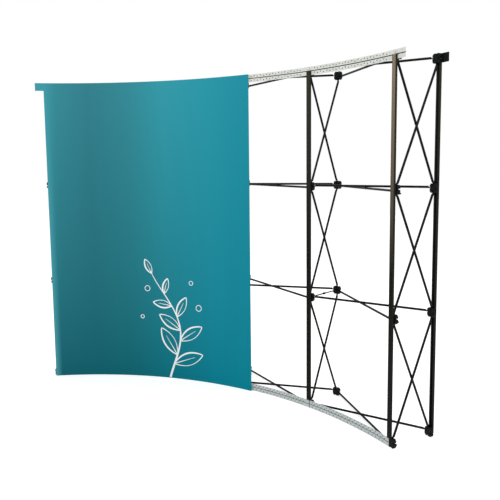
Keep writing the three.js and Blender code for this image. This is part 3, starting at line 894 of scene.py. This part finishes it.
def sprig(ink):
    """A plain leafy sprig: a stem bent as a sine, leaves to both sides and a few round buds."""
    t = np.linspace(0, 1, 80)
    sizes = bpy.context.scene.backwall_sizes
    height, line = sizes.sprig_height * MM, sizes.leaf_line * MM
    foot, lean = (905.0, 6.0), 150.0
    stem = np.column_stack([
        foot[0] + lean * np.sin(1.35 * np.pi * t) * (0.35 + 0.65 * t), foot[1] + height * t])
    parts = [brush_line(stem, np.linspace(17, 5, 80))]
    sizes = [(0.14, 1, 250, 92), (0.24, -1, 235, 88), (0.37, 1, 215, 80), (0.48, -1, 200, 74),
             (0.6, 1, 170, 64), (0.7, -1, 150, 56), (0.82, 1, 120, 46)]
    for share, side, length, breadth in sizes:
        at = int(share * 79)
        run = stem[at + 1] - stem[at]
        heading = math.atan2(run[1], run[0]) - side * math.radians(50)
        parts += leaf(stem[at], heading, length, breadth, line)
    run = stem[-1] - stem[-2]
    parts += leaf(stem[-1], math.atan2(run[1], run[0]), 118, 46, line - 1)
    for across, up, radius in ((735, 690, 20), (1090, 745, 15), (1150, 560, 22), (690, 470, 13)):
        ring = circle(36) * radius + (across, up)
        parts.append(brush_line(ring, 5.0, True))
    return make_piece("film_sprig", [(shape, ink) for shape in parts], "printed_film")


# ---- settings a user would change ----

class BackwallFinishes(bpy.types.PropertyGroup):
    """Colours of the wall's finishes, as sRGB hex."""
    nylon_light: StringProperty(
        name="Nylon, light", description="Lighter tone of the hubs", default="#0D0F0F")
    nylon_dark: StringProperty(
        name="Nylon, dark", description="Darker tone of the hubs", default="#070808")
    tube_light: StringProperty(
        name="Tube, light", description="Lighter tone of the struts", default="#0D0E0F")
    tube_dark: StringProperty(
        name="Tube, dark", description="Darker tone of the struts", default="#060707")
    # The bars' top and foot colours are painted light: a painted sheen at the top, painted shade at
    # the foot.
    bar_sheen_top: StringProperty(
        name="Bar, top", description="Channel colour at the top", default="#25251F")
    bar_shade_foot: StringProperty(
        name="Bar, foot", description="Channel colour at the foot", default="#0D0E0B")
    tape_sheen_top: StringProperty(
        # The tapes' top and foot colours are painted light as well: a painted sheen at the top,
        # painted shade at the foot.
        name="Tape, top", description="Tape colour at the top", default="#887A65")
    dark_tape_sheen_top: StringProperty(
        name="Dark tape, top", description="Inner bars' tape colour at the top", default="#34342A")
    tape_shade_foot: StringProperty(
        name="Tape, foot", description="Tape colour at the foot", default="#13140F")
    strip_light: StringProperty(
        name="Strip, light", description="Lighter tone of the top strips", default="#E8E9E3")
    strip_dark: StringProperty(
        name="Strip, dark", description="Darker tone of the top strips", default="#CCCEC7")
    foot_light: StringProperty(
        name="Foot strip, light", description="Lighter tone of the foot strips", default="#CFD5D4")
    foot_dark: StringProperty(
        name="Foot strip, dark", description="Darker tone of the foot strips", default="#B6BDBC")


class BackwallSizes(bpy.types.PropertyGroup):
    """Sizes of the fine details, which can change without the frame."""
    hole_diameter: FloatProperty(
        name="Hole", description="Diameter of the strips' holes", default=0.0074, unit="LENGTH")
    top_pitch: FloatProperty(
        name="Top pitch", description="Between the top strips' holes", default=0.05, unit="LENGTH")
    foot_pitch: FloatProperty(
        name="Foot pitch", description="Between the foot strips' holes", default=0.03,
        unit="LENGTH")
    sprig_height: FloatProperty(
        name="Sprig", description="Height of the printed sprig", default=0.8, unit="LENGTH")
    leaf_line: FloatProperty(
        name="Leaf line", description="Mean width of the leaves' lines", default=0.0085,
        unit="LENGTH")


class BackwallStudio(bpy.types.PropertyGroup):
    """Camera and light."""
    lens: FloatProperty(
        name="Lens", description="Focal length", default=41.7, subtype="DISTANCE_CAMERA")
    lamp_power: FloatProperty(
        name="Lamp power", description="Power of the large soft lamp", default=120.0, unit="POWER")
    sky_strength: FloatProperty(
        name="Surround", description="Strength of the even light all round", default=0.68)


def finishes():
    """The wall's materials, made once and shared by all its pieces."""
    made = finishes.made
    if not made:
        colours = bpy.context.scene.backwall_finishes
        made["nylon"] = moulded_nylon(colours.nylon_light, colours.nylon_dark)
        made["tube"] = coated_tube(colours.tube_light, colours.tube_dark)
        made["steel"] = blackened_steel()
        # Painted sheen and painted shade by height on the bars.
        made["bar"] = bar_coat(colours.bar_sheen_top, colours.bar_shade_foot)
        # Painted sheen and painted shade by height on the tapes.
        made["tape"] = magnet_tape("Magnet tape", colours.tape_sheen_top, colours.tape_shade_foot)
        made["dark_tape"] = magnet_tape(
            "Dark magnet tape", colours.dark_tape_sheen_top, colours.tape_shade_foot)
        made["strip"] = strip_sheet("Pale PVC", colours.strip_light, colours.strip_dark)
        made["foot"] = strip_sheet("Grey PVC", colours.foot_light, colours.foot_dark)
        made["seal"] = plain_rubber("Rubber seal", "#2E2E28", "#24241F", 2.0)
        made["foot_seal"] = plain_rubber("Pale rubber seal", "#7C8484", "#6C7474", 2.0)
        made["hole"] = plain_rubber("Small hole", "#30322F", "#262825", 1.0)
        made["print"] = laminated_print()
        made["back"] = grey_back()
        made["ink"] = white_ink()
    return made


finishes.made = {}


# ---- operators ----

class BACKWALL_OT_columns(bpy.types.Operator):
    """Hubs and crossed upright struts, in two chains for each column"""
    bl_idname = "backwall.columns"
    bl_label = "Columns"

    def execute(self, context):
        made = finishes()
        for column in range(BAYS + 1):
            for chain, sign in (("a", 1), ("b", -1)):
                node = f"column_{column + 1}_chain_{chain}"
                parts, tubes = [], []
                for level in range(ROWS + 1):
                    is_front = (level % 2 == 0) == (sign > 0)
                    parts += hub(column, level, is_front, made["nylon"], made["steel"])
                for level in range(ROWS):
                    is_front = (level % 2 == 0) == (sign > 0)
                    low, high = (FRONT_RADIUS, REAR_RADIUS)[::1 if is_front else -1]
                    tube = strut((0, low, level_height(level) + PIN_REACH),
                                 (0, high, level_height(level + 1) - PIN_REACH), (1, 0, 0), sign)
                    tubes.append((along_column(tube, column), made["tube"]))
                    if sign > 0:
                        middle = (0, FRONT_RADIUS + FRAME_DEPTH / 2,
                                  level_height(level) + LEVEL_SPACING / 2)
                        tubes.append((along_column(rivet(middle, "x"), column), made["steel"]))
                make_piece(f"{node}_hubs", parts, "frame", [node])
                make_piece(f"{node}_tubes", tubes, "frame", [node])
        return {"FINISHED"}


class BACKWALL_OT_level_struts(bpy.types.Operator):
    """Crossed struts between neighbouring columns at every level"""
    bl_idname = "backwall.level_struts"
    bl_label = "Level struts"

    def execute(self, context):
        made = finishes()
        cos, sin = math.cos(BAY_ANGLE / 2), math.sin(BAY_ANGLE / 2)
        front, rear = (
            np.array([radius * sin - PIN_REACH * cos, radius * cos + PIN_REACH * sin])
            for radius in (FRONT_RADIUS, REAR_RADIUS))
        share = front[0] / (front[0] + rear[0])
        cross_y = front[1] + (rear[1] - front[1]) * share
        for bay in range(BAYS):
            for level in range(ROWS + 1):
                z = level_height(level)
                upper = strut((-front[0], front[1], z), (rear[0], rear[1], z), (0, 0, 1), 1, share)
                lower = strut((-rear[0], rear[1], z), (front[0], front[1], z), (0, 0, 1), -1,
                              1 - share)
                pin = rivet((0, cross_y, z), "z")
                label = f"bay_{bay + 1}_level_{level + 1}_strut"
                place = bay + 0.5
                make_piece(
                    f"{label}_a_tube",
                    [(along_column(upper, place), made["tube"]),
                     (along_column(pin, place), made["steel"])],
                    "frame", [f"{label}_a"])
                make_piece(f"{label}_b_tube", [(along_column(lower, place), made["tube"])],
                           "frame", [f"{label}_b"])
        return {"FINISHED"}


class BACKWALL_OT_bars(bpy.types.Operator):
    """Channel bars on the front of every column and the back of both end columns"""
    bl_idname = "backwall.bars"
    bl_label = "Bars"

    def execute(self, context):
        made = finishes()
        high = level_height(ROWS)
        low = level_height(0) + STRIP_HALF_HEIGHT + BAR_FOOT_GAP
        for column in range(BAYS + 1):
            node = f"front_bar_{column + 1}"
            parts = bar_parts(-1, FRONT_RADIUS, BAR_BACK, low, high,
                              made["bar"], made["tape" if is_end(column) else "dark_tape"],
                              made["nylon"])
            parts = [(along_column(shape, column), material) for shape, material in parts]
            make_piece(f"{node}_channel", parts, node, [node])
        for node, column in (("rear_bar_left", 0), ("rear_bar_right", BAYS)):
            parts = bar_parts(1, REAR_RADIUS, REAR_BAR_BACK, level_height(0) - REAR_BAR_DROP, high,
                              made["bar"], made["dark_tape"], made["nylon"])
            parts = [(along_column(shape, column), material) for shape, material in parts]
            make_piece(f"{node}_channel", parts, node, [node])
        return {"FINISHED"}


class BACKWALL_OT_strips(bpy.types.Operator):
    """Pale strips along the top and the foot of the front, and the top strip's wings"""
    bl_idname = "backwall.strips"
    bl_label = "Strips"

    def execute(self, context):
        made = finishes()
        reach = FRONT_RADIUS - STRIP_BACK
        top, foot = level_height(ROWS), level_height(0)
        sizes = context.scene.backwall_sizes
        top_pitch, foot_pitch = sizes.top_pitch * MM, sizes.foot_pitch * MM
        for bay in range(BAYS):
            start, end = column_angle(bay), column_angle(bay + 1)
            seam = TOP_SEAM / 2 / reach
            parts = strip_parts(start + seam, end - seam, top, TOP_HOLES, top_pitch,
                                made["strip"], made["seal"], made["hole"])
            node = f"top_strip_{bay + 1}"
            make_piece(f"{node}_sheet", parts, "frame", [node])
            first = (FOOT_STOP if bay == 0 else FOOT_SEAM / 2) / reach
            last = (FOOT_STOP if bay == BAYS - 1 else FOOT_SEAM / 2) / reach
            parts = strip_parts(start + first, end - last, foot, FOOT_HOLES, foot_pitch,
                                made["foot"], made["foot_seal"], made["hole"])
            node = f"bottom_strip_{bay + 1}"
            make_piece(f"{node}_sheet", parts, "frame", [node])
        for node, side in (("top_wing_left", -1), ("top_wing_right", 1)):
            inner = side * (HALF_ARC + TOP_SEAM / 2 / reach)
            outer = side * (HALF_ARC + WING_LENGTH / reach)
            parts = strip_parts(min(inner, outer), max(inner, outer), top, TOP_HOLES, top_pitch,
                                made["strip"], made["seal"], made["hole"])
            make_piece(f"{node}_sheet", parts, "frame", [node])
        return {"FINISHED"}


class BACKWALL_OT_film(bpy.types.Operator):
    """The printed film and the white sprig on it"""
    bl_idname = "backwall.film"
    bl_label = "Printed film"

    def execute(self, context):
        made = finishes()
        film_piece(made["print"], made["back"])
        sprig(made["ink"])
        return {"FINISHED"}


CAMERA_PLACE = Vector((2.0904, -3.4914, 1.6315))
CAMERA_YAW = math.radians(-27.51)
CAMERA_PITCH = math.radians(-5.81)
CAMERA_ROLL = math.radians(-0.53)
CAMERA_SHIFT = (-0.0116, -0.0568)


def camera_turn():
    """Right, up and backward axes from yaw (0 looks along +Y), pitch and roll."""
    cos_yaw, sin_yaw = math.cos(CAMERA_YAW), math.sin(CAMERA_YAW)
    cos_pitch, sin_pitch = math.cos(CAMERA_PITCH), math.sin(CAMERA_PITCH)
    forward = Vector((sin_yaw * cos_pitch, cos_yaw * cos_pitch, sin_pitch))
    level_right = Vector((cos_yaw, -sin_yaw, 0))
    level_up = level_right.cross(forward)
    right = level_right * math.cos(CAMERA_ROLL) + level_up * math.sin(CAMERA_ROLL)
    up = level_up * math.cos(CAMERA_ROLL) - level_right * math.sin(CAMERA_ROLL)
    return Matrix((right, up, -forward)).transposed()


def seen_directly(tree):
    """1 for the rays that show the background itself: straight, mirrored or through glass."""
    path = add_node(tree, "ShaderNodeLightPath").outputs
    bent = add_node(tree, "ShaderNodeMath", {
        0: path["Is Glossy Ray"], 1: path["Is Transmission Ray"]}, operation="MAXIMUM")
    return add_node(tree, "ShaderNodeMath", {
        0: path["Is Camera Ray"], 1: bent.outputs[0]}, operation="MAXIMUM").outputs[0]


class BACKWALL_OT_stage(bpy.types.Operator):
    """Pale floor, even surround, soft lamps and the camera"""
    bl_idname = "backwall.stage"
    bl_label = "Stage"

    def execute(self, context):
        scene, studio = context.scene, context.scene.backwall_studio
        scene.view_settings.view_transform = "Standard"
        self.add_camera(scene, studio)
        self.add_surround(scene, studio)
        self.add_floor(scene)
        self.add_lamp(scene, "Key lamp", (2.6, -4.2, 4.6), 3.2, studio.lamp_power)
        self.add_lamp(scene, "Back lamp", (-2.0, 3.4, 3.6), 3.0, studio.lamp_power * 0.4)
        return {"FINISHED"}

    def add_camera(self, scene, studio):
        """The view of the photograph."""
        data = bpy.data.cameras.new("Camera")
        data.lens = studio.lens
        data.shift_x, data.shift_y = CAMERA_SHIFT
        data.clip_end = 100
        camera = bpy.data.objects.new("Camera", data)
        scene.collection.objects.link(camera)
        camera.rotation_mode = "QUATERNION"
        camera.location = CAMERA_PLACE
        camera.rotation_quaternion = camera_turn().to_quaternion()
        scene.camera = camera

    def add_surround(self, scene, studio):
        """Even light from all round, seen as plain white."""
        world = bpy.data.worlds.new("Surround")
        world.use_nodes = True
        tree = world.node_tree
        tree.nodes.clear()
        light = add_node(tree, "ShaderNodeBackground", {
            "Color": (1, 1, 1, 1), "Strength": studio.sky_strength})
        plain = add_node(tree, "ShaderNodeBackground", {"Color": (1, 1, 1, 1), "Strength": 1.0})
        mixed = add_node(tree, "ShaderNodeMixShader", {
            0: seen_directly(tree), 1: light.outputs[0], 2: plain.outputs[0]})
        add_node(tree, "ShaderNodeOutputWorld", {"Surface": mixed.outputs[0]})
        scene.world = world

    def add_floor(self, scene):
        """A pale matt floor that keeps the wall's shadow."""
        mesh = bpy.data.meshes.new("Floor")
        reach = 14.0
        mesh.from_pydata([(-reach, -reach, 0), (reach, -reach, 0), (reach, reach, 0),
                          (-reach, reach, 0)], [], [(0, 1, 2, 3)])
        material, tree = new_material("Studio floor")
        grain = noise(tree, object_coordinates(tree), 40.0)
        shader = add_node(tree, "ShaderNodeBsdfPrincipled", {
            "Base Color": linear("#F4F4F4"), "Roughness": spread(tree, grain, 0.85, 0.95),
            "Specular IOR Level": 0.1, "Emission Color": (1, 1, 1, 1),
            "Emission Strength": spread(tree, seen_directly(tree), 0.0, 0.5)})
        add_node(tree, "ShaderNodeOutputMaterial", {"Surface": shader.outputs["BSDF"]})
        mesh.materials.append(material)
        floor = bpy.data.objects.new("Floor", mesh)
        scene.collection.objects.link(floor)

    def add_lamp(self, scene, name, place, size, power):
        """A square soft lamp that looks at the middle of the wall."""
        data = bpy.data.lights.new(name, "AREA")
        data.energy, data.size = power, size
        lamp = bpy.data.objects.new(name, data)
        scene.collection.objects.link(lamp)
        lamp.location = place
        lamp.rotation_mode = "QUATERNION"
        aim = Vector((0, 0, 1.1)) - Vector(place)
        lamp.rotation_quaternion = aim.to_track_quat("-Z", "Y")


class BACKWALL_PT_panel(bpy.types.Panel):
    """Sidebar panel with the wall's operators"""
    bl_label = "Backwall"
    bl_idname = "BACKWALL_PT_panel"
    bl_space_type = "VIEW_3D"
    bl_region_type = "UI"
    bl_category = "Backwall"

    def draw(self, context):
        for name in MAKERS:
            self.layout.operator(f"backwall.{name}")
        for name in GROUPS:
            group = getattr(context.scene, name)
            for key in group.__annotations__:
                self.layout.prop(group, key)


MAKERS = ("stage", "columns", "level_struts", "bars", "strips", "film")
GROUPS = {
    "backwall_sizes": BackwallSizes,
    "backwall_finishes": BackwallFinishes,
    "backwall_studio": BackwallStudio,
}
CLASSES = (
    *GROUPS.values(), BACKWALL_OT_stage, BACKWALL_OT_columns, BACKWALL_OT_level_struts,
    BACKWALL_OT_bars, BACKWALL_OT_strips, BACKWALL_OT_film, BACKWALL_PT_panel,
)


def register():
    """Adds the classes and hangs the settings on the scene."""
    for entry in CLASSES:
        bpy.utils.register_class(entry)
    for name, group in GROUPS.items():
        setattr(bpy.types.Scene, name, bpy.props.PointerProperty(type=group))


def unregister():
    """Takes away what register added."""
    for name in GROUPS:
        delattr(bpy.types.Scene, name)
    for entry in reversed(CLASSES):
        bpy.utils.unregister_class(entry)


def main():
    """Dresses the frame piece by piece."""
    register()
    for name in MAKERS:
        getattr(bpy.ops.backwall, name)()
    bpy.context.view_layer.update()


if __name__ == "__main__":
    main()
